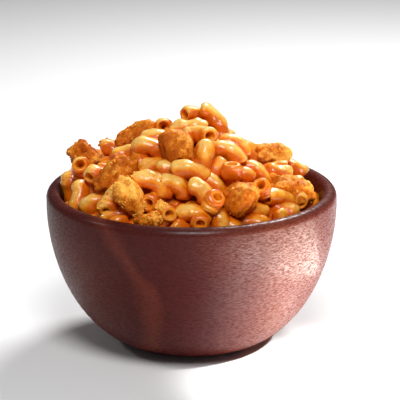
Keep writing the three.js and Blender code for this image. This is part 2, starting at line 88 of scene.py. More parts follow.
def copiesOf(faces, pointsEach, count):
    # the same faces for each of several equal blocks of points
    return (faces[None] + (np.arange(count) * pointsEach)[:, None, None]).reshape(-1, faces.shape[1])


def fanFaces(middle, ring):
    # triangles from a middle point to each pair of neighbours of a ring
    return np.stack([np.full(len(ring), middle), ring, np.roll(ring, -1)], 1)


def makePiece(name, points, faces, material, capFaces=None):
    # points in millimetres; faces and capFaces each all of one corner count
    groups = [faces] if capFaces is None else [faces, capFaces]
    sizes = np.concatenate([np.full(len(group), group.shape[1]) for group in groups])
    corners = np.concatenate([group.ravel() for group in groups])
    mesh = bpy.data.meshes.new(name)
    mesh.vertices.add(len(points))
    mesh.vertices.foreach_set("co", (np.asarray(points) * mm).astype(np.float32).ravel())
    mesh.loops.add(len(corners))
    mesh.loops.foreach_set("vertex_index", corners.astype(np.int32))
    mesh.polygons.add(len(sizes))
    mesh.polygons.foreach_set("loop_start", (np.cumsum(sizes) - sizes).astype(np.int32))
    mesh.polygons.foreach_set("use_smooth", np.full(len(sizes), True))
    mesh.update(calc_edges=True)
    mesh.validate()
    mesh.materials.append(material)
    piece = bpy.data.objects.new(name, mesh)
    bpy.context.scene.collection.objects.link(piece)
    return piece


def paint(piece, name, values):
    # one number for each vertex, for the material to read
    layer = piece.data.attributes.new(name, "FLOAT", "POINT")
    layer.data.foreach_set("value", np.asarray(values, np.float32).ravel())


def newMaterial(name):
    material = bpy.data.materials.new(name)
    material.use_nodes = True
    return material, material.node_tree, material.node_tree.nodes["Principled BSDF"]


def feed(tree, value, socket):
    # links a node's output, or sets a number or a colour
    if isinstance(value, bpy.types.NodeSocket):
        tree.links.new(value, socket)
    else:
        socket.default_value = (*value, 1) if isinstance(value, tuple) and len(value) == 3 else value


def setInputs(node, values):
    for name, value in values.items():
        node.inputs[name].default_value = value


def noiseNode(tree, vector, scale, detail=2.0, roughness=0.5, distortion=0.0):
    node = tree.nodes.new("ShaderNodeTexNoise")
    setInputs(node, {"Scale": scale, "Detail": detail, "Roughness": roughness, "Distortion": distortion})
    tree.links.new(vector, node.inputs["Vector"])
    return node.outputs["Fac"]


def mappedCoords(tree, scale=(1, 1, 1), move=(0, 0, 0)):
    coords = tree.nodes.new("ShaderNodeTexCoord")
    mapping = tree.nodes.new("ShaderNodeMapping")
    setInputs(mapping, {"Scale": scale, "Location": move})
    tree.links.new(coords.outputs["Object"], mapping.inputs["Vector"])
    return mapping.outputs["Vector"]


def rampNode(tree, fac, *stops):
    ramp = tree.nodes.new("ShaderNodeValToRGB")
    elements = ramp.color_ramp.elements
    while len(elements) < len(stops):
        elements.new(0.5)
    for element, (place, colour) in zip(elements, stops):
        element.position = place
        element.color = (*colour, 1)
    tree.links.new(fac, ramp.inputs["Fac"])
    return ramp.outputs["Color"]


def mixColour(tree, fac, a, b, blend="MIX"):
    mix = tree.nodes.new("ShaderNodeMix")
    mix.data_type = "RGBA"
    mix.blend_type = blend
    for socket, value in ((mix.inputs[0], fac), (mix.inputs[6], a), (mix.inputs[7], b)):
        feed(tree, value, socket)
    return mix.outputs[2]


def multiply(tree, a, b):
    return mixColour(tree, 1.0, a, b, "MULTIPLY")


def rangeNode(tree, value, source, target):
    # carries one span of numbers over to another, and holds its ends
    node = tree.nodes.new("ShaderNodeMapRange")
    setInputs(node, dict(zip(("From Min", "From Max", "To Min", "To Max"), (*source, *target))))
    tree.links.new(value, node.inputs["Value"])
    return node.outputs["Result"]


def bumpNode(tree, height, distance, strength):
    bump = tree.nodes.new("ShaderNodeBump")
    setInputs(bump, {"Distance": distance, "Strength": strength})
    tree.links.new(height, bump.inputs["Height"])
    return bump.outputs["Normal"]


def mathNode(tree, operation, *values, kind="ShaderNodeMath", output="Value"):
    node = tree.nodes.new(kind)
    node.operation = operation
    for socket, value in zip(node.inputs, values):
        feed(tree, value, socket)
    return node.outputs[output]


def vectorNode(tree, operation, *vectors, output="Vector"):
    return mathNode(tree, operation, *vectors, kind="ShaderNodeVectorMath", output=output)


def attributeNode(tree, name):
    node = tree.nodes.new("ShaderNodeAttribute")
    node.attribute_name = name
    return node.outputs["Fac"]


bowl = {
    "radius": 75,
    "height": 82,
    "foot": 26,
    "upright": 74,
    "roundness": 1.9,
    "wall": 6.9,
    "floor": 9,
    "well": 16,
    "innerUpright": 76,
    "outerLip": 4.2,
    "innerLip": 2.6,
    "segments": 256,
    "darkWood": (0.068, 0.011, 0.009),
    "redWood": (0.105, 0.02, 0.013),
    "paleWoodAndSheen": (0.15, 0.036, 0.018),
    "streak": (0.125, 0.024, 0.015),
    "pith": (-0.08, 0.03),  # x and z in metres of the line that the rings lie round
    "ringScale": 6,
    "poreScale": (470, 470, 2000),
    "darkLustre": 0.22,
    "paleLustre": 0.85,
    "rimLustre": 0.45,
    "surface": {"Coat Roughness": 0.28, "Specular IOR Level": 0.05},
}
innerRadius = bowl["radius"] - bowl["wall"]


def bowlCurve(bottom, top, flat, radius, roundness, steps):
    # a super-ellipse quarter: flat at the bottom, upright at the top
    t = np.linspace(0, math.pi / 2, steps + 1)
    r = flat + (radius - flat) * np.sin(t) ** (2 / roundness)
    return np.stack([r, bottom + (top - bottom) * (1 - np.cos(t) ** (2 / roundness))], 1)


def roundOver(r, z, size, start, end, steps):
    # part of a circle about r, z, from one angle to another, in degrees
    t = np.radians(np.linspace(start, end, steps + 1))
    return np.stack([r + size * np.cos(t), z + size * np.sin(t)], 1)


def grey(value):
    return (value, value, value)


def woodMaterial():
    # Dark reddish wood. The rings are a number that grows away from a pith along Y and sways with noise:
    # rings = scale |(x, z) - pith| + noise. Short wavy pores lie level and break up the sheen.
    material, tree, shader = newMaterial("lacqueredHardwood")
    coords = mappedCoords(tree)
    scale, (pithX, pithZ) = bowl["ringScale"], bowl["pith"]
    acrossGrain = mappedCoords(tree, (scale, 0, scale), (-scale * pithX, 0, -scale * pithZ))
    fromPith = vectorNode(tree, "LENGTH", acrossGrain, output="Value")
    sway = rangeNode(tree, noiseNode(tree, coords, 24, 1.5), (0, 1), (-0.09, 0.09))
    rings = mathNode(tree, "ADD", fromPith, sway)
    dark, red = bowl["darkWood"], bowl["redWood"]
    # the pale rings lie on the right where the sheen falls, so their paler colour is partly the wood's
    # figure and partly painted sheen
    colour = rampNode(
        tree, rings, (0.2, red), (0.325, dark), (0.36, bowl["streak"]), (0.39, dark), (0.56, dark),
        (0.66, red), (0.76, bowl["paleWoodAndSheen"]), (0.9, red))
    waver = tree.nodes.new("ShaderNodeCombineXYZ")
    tree.links.new(mathNode(tree, "MULTIPLY", noiseNode(tree, coords, 160), 6.0), waver.inputs["Z"])
    wavy = vectorNode(tree, "ADD", mappedCoords(tree, bowl["poreScale"]), waver.outputs["Vector"])
    pores = noiseNode(tree, wavy, 1.0, 2, 0.55, 0.4)
    smooth = rangeNode(tree, pores, (0.4, 0.6), (0, 1))
    colour = multiply(tree, colour, mixColour(tree, smooth, (0.86, 0.8, 0.8), (1.07, 1.08, 1.08)))
    tree.links.new(colour, shader.inputs["Base Color"])
    tree.links.new(rangeNode(tree, smooth, (0, 1), (0.6, 0.36)), shader.inputs["Roughness"])
    # the lacquer shines most over pale wood, less in the pores and on the rim, and least at the foot
    split = tree.nodes.new("ShaderNodeSeparateXYZ")
    tree.links.new(coords, split.inputs["Vector"])
    level = split.outputs["Z"]
    lustre = rampNode(tree, rings, (0.5, grey(bowl["darkLustre"])), (0.74, grey(bowl["paleLustre"])))
    onRim = rangeNode(tree, level, (0.0785, 0.081), (0, 1))
    lustre = mixColour(tree, onRim, lustre, grey(bowl["rimLustre"]))
    lustre = multiply(tree, lustre, rangeNode(tree, level, (0.004, 0.04), (0.08, 1)))
    inPores = rangeNode(tree, rings, (0.5, 0.68), (0.7, 0.15))
    lustre = multiply(tree, lustre, mixColour(tree, smooth, inPores, grey(1.0)))
    tree.links.new(lustre, shader.inputs["Coat Weight"])
    setInputs(shader, bowl["surface"])
    tree.links.new(bumpNode(tree, smooth, 0.0001, 0.5), shader.inputs["Normal"])
    return material


def makeBowl():
    # a closed outline r, z turned round Z: (r cos a, r sin a, z), with a fan of triangles at each pole
    poleRadius = 0.4
    outerLip, innerLip = bowl["outerLip"], bowl["innerLip"]
    profile = np.concatenate([
        [[poleRadius, 0.0]],
        bowlCurve(0, bowl["upright"], bowl["foot"], bowl["radius"], bowl["roundness"], 40),
        roundOver(bowl["radius"] - outerLip, bowl["height"] - outerLip, outerLip, 0, 90, 10),
        roundOver(innerRadius + innerLip, bowl["height"] - innerLip, innerLip, 90, 180, 8),
        bowlCurve(bowl["floor"], bowl["innerUpright"], bowl["well"], innerRadius, 2, 16)[::-1],
        [[poleRadius, bowl["floor"]]],
    ])
    angle = np.linspace(0, 2 * math.pi, bowl["segments"], endpoint=False)
    points = np.stack([
        profile[:, :1] * np.cos(angle),
        profile[:, :1] * np.sin(angle),
        np.repeat(profile[:, 1:], len(angle), 1),
    ], -1).reshape(-1, 3)
    ring = np.arange(len(angle))
    lastRing = len(points) - len(angle) + ring
    under, inside = len(points), len(points) + 1
    caps = np.vstack([fanFaces(under, ring[::-1]), fanFaces(inside, lastRing)])
    points = np.vstack([points, [[0, 0, 0], [0, 0, bowl["floor"]]]])
    piece = makePiece("turned_bowl", points, gridFaces(len(profile), len(angle)), woodMaterial(), caps)
    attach(piece, "root")
    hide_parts("bowl")


# the lie of the food, in millimetres, and where the guest looks from
mound = {"edge": 80, "rise": 44, "peakX": -3, "peakY": 1, "frontSteepness": 1.5, "backSteepness": 1.0}
hollows = {"at": [[4, 34], [178, 22]], "blend": 12, "from": 44, "fade": 10, "depth": 9.0}
guest = {"tilt": 18.1, "distance": 1200, "height": 45}
gap = 0.4

tilt = math.radians(guest["tilt"])
viewRight = np.array([1.0, 0, 0])
viewUp = np.array([0, math.sin(tilt), math.cos(tilt)])
viewNear = np.array([0, -math.cos(tilt), math.sin(tilt)])


def reachFromPeak(dx, dy):
    along = mound["peakX"] * dx + mound["peakY"] * dy
    return -along + np.sqrt(along**2 + innerRadius**2 - mound["peakX"] ** 2 - mound["peakY"] ** 2)


def smoothStep(t):
    t = np.clip(t, 0, 1)
    return t * t * (3 - 2 * t)


def shareOut(x, y):
    # share of the way from the peak to the wall
    dx, dy = x - mound["peakX"], y - mound["peakY"]
    out = np.maximum(np.hypot(dx, dy), 1e-9)
    return out / reachFromPeak(dx / out, dy / out)


def moundTop(x, y):
    # a dome with a blunt tip, steeper at the back than at the front
    dx, dy = x - mound["peakX"], y - mound["peakY"]
    toBack = 0.5 + 0.5 * dy / np.maximum(np.hypot(dx, dy), 1e-9)
    steepness = mound["frontSteepness"] + (mound["backSteepness"] - mound["frontSteepness"]) * toBack
    return mound["edge"] + mound["rise"] * (1 - shareOut(x, y) ** steepness)


def hollowDepth(x, y):
    # the food lies low along the wall at the sides, where the wall's inside shows
    angle = np.degrees(np.arctan2(y, x)) % 360
    inward = smoothStep((np.hypot(x, y) - hollows["from"]) / hollows["fade"])
    total = 0.0
    for middle, halfWidth in hollows["at"]:
        off = np.abs((angle - middle + 180) % 360 - 180)
        total = total + smoothStep((halfWidth - off) / hollows["blend"]) * inward
    return hollows["depth"] * total


def onMound(angle, share, depth):
    dx, dy = math.cos(angle), math.sin(angle)
    out = share * reachFromPeak(dx, dy)
    x, y = mound["peakX"] + out * dx, mound["peakY"] + out * dy
    return np.array([x, y, moundTop(x, y) - depth])


def seenOnMound(across, up, depth):
    # where a line of sight meets a surface under the mound, or passes closest over it
    middle = np.array([0, 0, guest["height"]], float)
    eye = middle + viewNear * guest["distance"]
    start = middle + viewRight * across + viewUp * up
    sight = unit(eye - start)
    t = np.arange(90, -90.01, -0.5)
    points = start + t[:, None] * sight
    over = points[:, 2] - (moundTop(points[:, 0], points[:, 1]) - depth)
    under = np.nonzero(over <= 0)[0]
    return points[under[0] if len(under) else int(np.argmin(over))]


def viewFrame(turn, nod, roll):
    # directions of a tube and of its bulge, from angles in the guest's view
    a, p, q = (math.radians(v) for v in (turn, nod, roll))
    flat = viewRight * math.cos(a) + viewUp * math.sin(a)
    along = flat * math.cos(p) + viewNear * math.sin(p)
    left = -viewRight * math.sin(a) + viewUp * math.cos(a)
    front = np.cross(along, left)
    return along, left * math.cos(q) + front * math.sin(q)


seed = 20417

# across, up, lift, turn in the view, half length, half width, half depth, raggedness
chickenFront = [
    [-27, 60.6, 2, 28, 12, 8.6, 8.5, 0.9],
    [-55.5, 51.2, 2, -35, 9.4, 6.5, 7, 1.1],
    [-7.7, 55.8, 5, 110, 10.4, 8, 8.4, 0.6],
    [-39.4, 41, 4, 48, 12.8, 7.2, 7.4, 1],
    [-30.4, 28, 6, -62, 10.8, 5.6, 6.2, 1.2],
    [-24, 19.2, 1, 5, 7, 4.6, 5, 1.3],
    [25.2, 28.6, 4, 45, 9.8, 7.8, 8, 0.7],
    [53.8, 33.4, 4, -17, 13.4, 7.2, 7.4, 1],
    [41.8, 52.2, 2, 0, 9.6, 6.2, 7, 1],
]
# on the far side: direction from the peak in degrees and share of the way out, and least and spread of
# the half sizes and of the raggedness
chickenBack = {
    "at": [[44, 0.86], [64, 0.58], [88, 0.88], [122, 0.56], [148, 0.84]],
    "half": [(9, 4), (7, 1.5), (7, 1)],
    "ragged": (0.7, 0.5),
}
crust = {
    "room": 0.8,
    "boxy": 0.14,
    "lumps": 0.09,
    "facets": 33,
    "flakes": 1.3,
    "flakeSize": 4.2,
    "grain": 0.75,
    "grainSize": 1.7,
    "crumbs": 170,
    "crumbSizes": (0.3, 0.95),
    "crumbGold": (-0.1, 0.45),
    "scatter": 7,
    # how much more golden the painted lit side of each piece is
    "litSideGold": 0.4,
    "gold": [0.15, 0.2, 0.3, 0.05, 0.8, 0.65, 0.3, 0.5, 0.85, 0.4, 0.6, 0.3, 0.7, 0.4],
    "brown": (0.64, 0.16, 0.004),
    "golden": (1.0, 0.45, 0.065),
    "dark": (0.44, 0.085, 0.002),
    "surface": {
        "Roughness": 0.55,
        "Specular IOR Level": 0.12,
        "Subsurface Weight": 0.15,
        "Subsurface Radius": (1.0, 0.4, 0.12),
        "Subsurface Scale": 0.0015,
    },
}
# the rooms are shares of a tube's radius
settle = {
    "slides": 10,
    "slide": 0.5,
    "crustRoom": 0.6,
    "tubeRoom": 1.5,
    "rounds": 60,
    "rate": 0.45,
    "hold": 0.05,
    "float": 0.15,
    "chickenRate": 0.15,
    "wallRate": 0.5,
}


def makeLumps(draw, count, pitch):
    # a few seeded waves over the unit sphere
    waves = np.array([[draw() - 0.5, draw() - 0.5, draw() - 0.5, draw()] for _ in range(count)])
    return waves[:, :3] * 2 * pitch, waves[:, 3] * 2 * math.pi


def layChicken():
    draw = seededDraw(seed + 1)
    pieces = []
    for across, up, lift, turn, length, width, depth, ragged in chickenFront:
        along, bulge = viewFrame(turn, 0, 0)
        mid = seenOnMound(across, up, depth * 0.8 - lift)
        half = [length, width, depth]
        pieces.append({"mid": mid, "along": along, "bulge": bulge, "half": half, "ragged": ragged})
    raggedLeast, raggedSpread = chickenBack["ragged"]
    for angle, share in chickenBack["at"]:
        spin = draw() * 2 * math.pi
        out = math.radians(angle)
        along = unit(np.array([math.cos(spin), math.sin(spin), (draw() - 0.5) * 0.5]))
        bulge = np.array([math.cos(out), math.sin(out), 1.5])
        bulge = unit(bulge - along * bulge.dot(along))
        half = [least + spread * draw() for least, spread in chickenBack["half"]]
        mid = onMound(out, share, half[2] * 0.4)
        ragged = raggedLeast + raggedSpread * draw()
        pieces.append({"mid": mid, "along": along, "bulge": bulge, "half": half, "ragged": ragged})
    for piece in pieces:
        piece["waves"] = makeLumps(draw, 9, 6)
    return spaceChicken(pieces)


frontBalls = 3 * len(chickenFront)


def chickenBalls(piece):
    # three balls that fill a piece, and their radius
    length, width, depth = piece["half"]
    radius = (width + depth) / 2 + crust["room"]
    reach = max(length + crust["room"] - radius, 0.5)
    return piece["mid"] + np.array([-1, 0, 1])[:, None] * reach * piece["along"], radius


def spaceChicken(pieces):
    # moves the pieces off each other and inside the wall; the ones in front aren't moved by those behind
    for _ in range(settle["rounds"]):
        balls = [chickenBalls(piece) for piece in pieces]
        for i, piece in enumerate(pieces):
            push = np.zeros(3)
            own, ownRadius = balls[i]
            for j, (others, radius) in enumerate(balls):
                if i == j or i < len(chickenFront) <= j:
                    continue
                apart = own[:, None] - others[None]
                far = np.linalg.norm(apart, axis=-1, keepdims=True)
                overlap = np.maximum(ownRadius + radius - far, 0)
                push += (apart / far * overlap * settle["chickenRate"]).sum((0, 1))
            out = np.hypot(own[:, 0], own[:, 1])
            over = np.maximum(out + ownRadius - (innerRadius - gap), 0) * settle["wallRate"]
            push[:2] -= (own[:, :2] / out[:, None] * over[:, None]).sum(0)
            piece["mid"] = piece["mid"] + push
    return pieces


def cubeSphere(n):
    # unit directions of a cube's faces, each an n by n grid, blown up to a ball; shared edges merged
    t = np.tan(np.linspace(-math.pi / 4, math.pi / 4, n + 1))
    a, b = np.meshgrid(t, t, indexing="ij")
    one = np.ones_like(a)
    sides = [(one, a, b), (-one, b, a), (b, one, a), (a, -one, b), (a, b, one), (b, a, -one)]
    points = np.concatenate([np.stack(side, -1).reshape(-1, 3) for side in sides])
    faces = copiesOf(gridFaces(n + 1, n + 1, closeColumns=False), (n + 1) ** 2, 6)[:, ::-1]
    _, first, back = np.unique(np.round(points, 6), axis=0, return_index=True, return_inverse=True)
    return unit(points[first]), back.ravel()[faces]


def crustReach(piece, p):
    # how far the crust reaches in a direction, as a share of the half sizes
    boxy = 1 - crust["boxy"] + crust["boxy"] / np.abs(p).max(-1)
    turns, phases = piece["waves"]
    relief = math.sqrt(2 / len(phases)) * np.sin(p @ turns.T + phases).sum(-1)
    return boxy * (1 + crust["lumps"] * piece["ragged"] * relief)


def crustMaterial():
    # from dark to golden by broad noise, each piece's own gold with its painted lit side, and fine noise;
    # darker in the low crevices and paler on high flakes, which is painted shade and painted highlight
    material, tree, shader = newMaterial("breadedCrust")
    coords = mappedCoords(tree)
    broad = rangeNode(tree, noiseNode(tree, coords, 75, 1), (0.3, 0.7), (-0.2, 0.18))
    gold = rangeNode(tree, attributeNode(tree, "gold"), (0, 1), (-0.2, 0.2))
    fine = rangeNode(tree, noiseNode(tree, coords, 300, 4, 0.7), (0.2, 0.8), (0.21, 0.79))
    patches = mathNode(tree, "ADD", mathNode(tree, "ADD", broad, gold), fine)
    colour = rampNode(tree, patches, (0.25, crust["dark"]), (0.45, crust["brown"]), (0.68, crust["golden"]))
    height = attributeNode(tree, "height")
    # painted shade in the low crevices and a painted highlight on the high flakes and crumbs
    shade = rampNode(tree, height, (0.2, (0.75, 0.6, 0.4)), (0.5, grey(1)), (0.9, (1.2, 1.3, 1.4)))
    speckle = noiseNode(tree, coords, 1100, 3, 0.7)
    grit = rampNode(tree, speckle, (0.34, (0.8, 0.7, 0.6)), (0.5, grey(1)), (0.66, (1.2, 1.35, 1.7)))
    colour = multiply(tree, multiply(tree, colour, shade), grit)
    tree.links.new(colour, shader.inputs["Base Color"])
    setInputs(shader, crust["surface"])
    tree.links.new(bumpNode(tree, speckle, 0.0004, 0.7), shader.inputs["Normal"])
    return material


def pieceAxes(piece):
    return np.stack([piece["along"], piece["bulge"], np.cross(piece["along"], piece["bulge"])])


def rideAsChicken(piece, count):
    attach(piece, "root")
    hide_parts(*[f"chicken_{i + 1:02d}" for i in range(count)])


def makeChicken(pieces, material):
    sphere, faces = cubeSphere(crust["facets"])
    everyPoint, everyHeight, everyGoldAndLitSide = [], [], []
    # painted light: the side of each piece that faces right and up in the guest's view is painted more
    # golden, a painted lit side
    paintedLitSide = unit(viewRight + viewUp * 0.5)
    for i, piece in enumerate(pieces):
        reach = crustReach(piece, sphere)[:, None]
        local = np.array(piece["half"]) * reach * sphere
        outward = unit(sphere / np.array(piece["half"]))
        flakes = 1 - np.abs(2 * latticeNoise(local + i * 31, crust["flakeSize"], 3) - 1)
        grain = latticeNoise(local + i * 17, crust["grainSize"], 5)
        height = crust["flakes"] * (flakes - 0.6) * piece["ragged"] + crust["grain"] * (grain - 0.5)
        local = local + outward * height[:, None]
        everyPoint.append(piece["mid"] + local @ pieceAxes(piece))
        everyHeight.append(np.clip(0.5 + height * 0.6, 0, 1))
        everyGoldAndLitSide.append(crust["gold"][i] + crust["litSideGold"] * (outward @ pieceAxes(piece) @ paintedLitSide))
    everyFace = copiesOf(faces, len(sphere), len(pieces))
    crusts = makePiece("breaded_chicken", np.concatenate(everyPoint), everyFace, material)
    paint(crusts, "height", np.concatenate(everyHeight))
    paint(crusts, "gold", np.concatenate(everyGoldAndLitSide))
    rideAsChicken(crusts, len(pieces))


def makeCrumbs(pieces, resting, material):
    # crumbs stuck on the chicken, more on the ragged pieces, and loose ones on the macaroni round it
    rng = np.random.default_rng(31)
    middles, golds = [], []
    for i, piece in enumerate(pieces):
        count = int(crust["crumbs"] * piece["ragged"] ** 3)
        way = unit(rng.normal(size=(count, 3)))
        local = np.array(piece["half"]) * crustReach(piece, way)[:, None] * way
        stuck = piece["mid"] + local @ pieceAxes(piece)
        far = np.linalg.norm(resting - piece["mid"], axis=1)
        near = resting[far < piece["half"][0] + crust["scatter"]]
        loose = near[rng.integers(0, len(near), int(count * max(piece["ragged"] - 1, 0)))]
        middles += [stuck, loose]
        golds.append(np.full(len(stuck) + len(loose), crust["gold"][i]))
    middles = np.concatenate(middles)
    sphere, faces = cubeSphere(2)
    low, high = crust["crumbSizes"]
    size = low + (high - low) * rng.uniform(0, 1, len(middles)) ** 2
    first = unit(rng.normal(size=(len(middles), 3)))
    second = unit(np.cross(first, rng.normal(size=(len(middles), 3))))
    turns = np.stack([first, second, np.cross(first, second)], 1)
    shape = size[:, None] * rng.uniform(0.6, 1.2, (len(middles), 3))
    points = (sphere[None] * rng.uniform(0.8, 1.2, (len(middles), len(sphere), 1)) * shape[:, None]) @ turns
    points = (points + middles[:, None]).reshape(-1, 3)
    gold = np.concatenate(golds) + rng.uniform(*crust["crumbGold"], len(middles))
    crumbs = makePiece("crumbs", points, copiesOf(faces, len(sphere), len(middles)), material)
    # the crumbs count as high, so they get the painted highlight of the high flakes
    paint(crumbs, "height", np.full(len(points), 0.8))
    paint(crumbs, "gold", np.repeat(gold, len(sphere)))
    rideAsChicken(crumbs, len(pieces))
    print("crumbs:", len(middles))


pasta = {
    "radius": 4.8,
    "radiusSpread": (0.92, 1.02),
    "bore": 2.2,
    "boreSpread": (0.9, 1.12),
    "flattening": (0.93, 1.0),
    "beads": 5,
    "lip": 1.8,
    "knobs": 0.06,
    "waves": 1.9,
    "waveSize": 6.5,
    "ripples": 1.0,
    "rippleSize": 2.8,
    # the sauce's colours: noise mixes them, and the painted shade pushes them to deep in shut-in places and
    # on undersides, and to pale on open tops
    "sauce": (0.935, 0.33, 0.013),
    "pale": (1.0, 0.58, 0.13),
    "deep": (0.77, 0.15, 0.002),
    "surface": {
        "Subsurface Weight": 0.1,
        "Subsurface Radius": (1.0, 0.7, 0.4),
        "Subsurface Scale": 0.001,
        "Coat Weight": 0.6,
        "Coat Roughness": 0.1,
        "Specular IOR Level": 0.3,
    },
}
fill = {
    "count": 52,
    "tries": 7000,
    "spacing": 0.62,
    "depth": pasta["radius"],
    "shortest": 16,
    "longest": 19,
    "bendLeast": 75,
    "bendMost": 140,
}
under = {"count": 110, "tries": 6000, "spacing": 0.55, "depth": 10.8}

# across, up, lift, turn, nod, roll, length, bend
laid = [
    # the top of the mound
    [2.4, 70.7, 0, 144, 31, 203, 17, 90],
    [11.4, 68.5, 2, -52, 0, 0, 20, 85],
    [15.3, 60.4, -3, -50, 0, 0, 13, 60],
    [3.6, 62.2, 2, 0, 33, 293, 18, 100],
    [-1.4, 65.1, -2, 5, 0, 0, 18, 60],
    [-14, 65.1, -4, 105, 63, 274, 14, 80],
    [5.9, 51.6, 4, 82, 0, 135, 15, 90],
    [12.7, 51, 0, -80, 0, 20, 18, 90],
    [18.9, 52.3, 1, -25, 10, 20, 17, 90],
    [22.3, 56.3, 1, -30, 0, 0, 16, 120],
    [27.5, 52.3, -1, -75, 0, 0, 15, 110],
    # the right shoulder
    [20.8, 42.1, 2, 87, 61, 92, 17, 70],
    [12.1, 42.2, -2, 60, 0, 90, 16, 90],
    [25.4, 40.6, 1, -5, 0, 20, 12, 120],
    [34, 41.7, 0, -38, 0, 10, 19, 110],
    [36.6, 33.5, 3, 107, 48, 263, 11, 70],
    [43.7, 41.7, 0, 0, 0, 25, 15, 100],
    [52, 43.7, -1, -15, -10, 0, 14, 80],
    [46.5, 27.9, 1, 157, 43, 196, 22, 75],
    [49.7, 21.8, 1, -8, 10, 25, 18, 80],
    [30.4, 21.3, -3, 10, 0, 30, 18, 80],
    [59.7, 28.3, 8, -29, 49, 295, 11, 60],
    # the middle of the front
    [-1.1, 43, 3, -16, 0, 25, 18, 90],
    [10.6, 34.4, 1, -36, 0, 0, 17, 110],
    [4.6, 32.3, 5, -45, 0, 30, 13, 100],
    [11, 26.6, 7, 58, 27, 285, 11, 60],
    [-20.7, 35.9, 4.5, -30, 0, 0, 20, 130],
    [-8.7, 40.6, 0, -36, 0, 10, 22, 80],
    [-17.6, 44.8, -2, 15, 0, 20, 17, 90],
    [-9.2, 34.9, 3.5, -30, 0, 10, 18, 120],
    [-19.4, 29.3, 3, -141, 40, 271, 13, 70],
    [-14.7, 22.8, 7, -35, 46, 271, 12, 60],
    [0.9, 20.3, 4, -15, 0, 20, 16, 110],
    [4.5, 17.7, 6, -79, 49, 275, 13, 60],
    [14.5, 16.1, 1, 100, 0, 150, 14, 90],
    [20, 13.5, -1, -20, 0, 30, 12, 110],
    [36.1, 14, 0, -5, 0, 20, 19, 110],
    # the left shoulder
    [-57.5, 44.3, 8, 99, 55, 276, 14, 90],
    [-60.8, 39.6, 5, 5, 0, 30, 15, 60],
    [-62.1, 33.3, 0, 95, 20, 30, 16, 100],
    [-59.8, 29.1, 2, 80, -20, 100, 17, 80],
    [-54.6, 33.3, 1, 75, 0, 170, 17, 110],
    [-52.5, 26, 4, 18, 0, 30, 16, 110],
    [-40.9, 28.1, 5, -127, 7, 244, 16, 110],
    [-39.5, 19.8, -1, 10, 0, 30, 16, 60],
    [-46.4, 39.6, 1, 159, 22, 216, 18, 120],
    [-47.3, 46.9, -1, 10, 0, 20, 16, 70],
    [-41, 53.4, 2, -35, 0, 10, 15, 110],
    [-32.2, 51.6, -1, -5, 0, 30, 16, 70],
    [-27, 47.9, 0, 85, 0, 70, 18, 60],
    [-21.5, 54.4, 3, -25, 0, 30, 18, 160],
    [-19.7, 46.4, -2, 12, 0, 40, 16, 70],
    [-17.6, 60.4, 0, 0, 0, 30, 15, 80],
]


def onTube(tubes, share):
    # points of the bent middle lines: share from -0.5 to 0.5 along each; returns tubes by shares by 3
    arc = np.radians(tubes["bend"])[:, None]
    bendRadius = tubes["length"][:, None] / arc
    sagitta = bendRadius * (1 - np.cos(arc / 2))
    angle = share * arc
    x = (bendRadius * np.sin(angle))[..., None]
    y = (sagitta * 0.5 - bendRadius * (1 - np.cos(angle)))[..., None]
    return tubes["mid"][:, None] + tubes["along"][:, None] * x + tubes["bulge"][:, None] * y


def tubeBalls(tubes):
    # balls in a row that stand for each tube where tubes are kept apart: tubes by balls by 3
    reach = 0.5 - 0.7 * pasta["radius"] / tubes["length"][:, None]
    return onTube(tubes, reach * np.linspace(-1, 1, pasta["beads"])[None])


def gather(rows):
    # a list of single tubes as one table of arrays
    keys = ("mid", "along", "bulge", "length", "bend")
    return {key: np.array([row[key] for row in rows], float) for key in keys}


def insideWall(row):
    # moves a tube level until it is inside the bowl's wall
    wall = innerRadius - pasta["radius"] - gap
    for _ in range(20):
        own = tubeBalls(gather([row]))[0]
        out = np.hypot(own[:, 0], own[:, 1])
        worst = int(np.argmax(out))
        if out[worst] > wall:
            row["mid"] = row["mid"] - np.append(own[worst, :2] / out[worst], 0) * (out[worst] - wall)
    return row


def hasRoom(own, balls, room, crusts, crustRadii):
    # whether a tube's balls keep their room from the balls of other tubes and from the chicken
    far = np.linalg.norm(own[:, None] - balls[None], axis=-1)
    crustFar = np.linalg.norm(own[:, None] - crusts[None], axis=-1) - crustRadii
    return crustFar.min() > pasta["radius"] * settle["crustRoom"] and (not far.size or far.min() > room)


def layTubes(crusts, crustRadii):
    # Each tube starts where its line of sight meets the mound and slides back along it until it is clear
    # of the chicken and of the tubes laid before it, but not far. The ones with the most lift come first.
    rows = []
    balls = np.zeros((0, 3))
    room = pasta["radius"] * settle["tubeRoom"]
    for across, up, lift, turn, nod, roll, length, bend in sorted(laid, key=lambda row: -row[2]):
        along, bulge = viewFrame(turn, nod, roll)
        mid = seenOnMound(across, up, pasta["radius"] - lift)
        row = insideWall({"mid": mid, "along": along, "bulge": bulge, "length": length, "bend": bend})
        for _ in range(settle["slides"]):
            if hasRoom(tubeBalls(gather([row]))[0], balls, room, crusts, crustRadii):
                break
            row = insideWall({**row, "mid": row["mid"] - viewNear * settle["slide"]})
        rows.append(row)
        balls = np.vstack([balls, tubeBalls(gather([row]))[0]])
    return rows


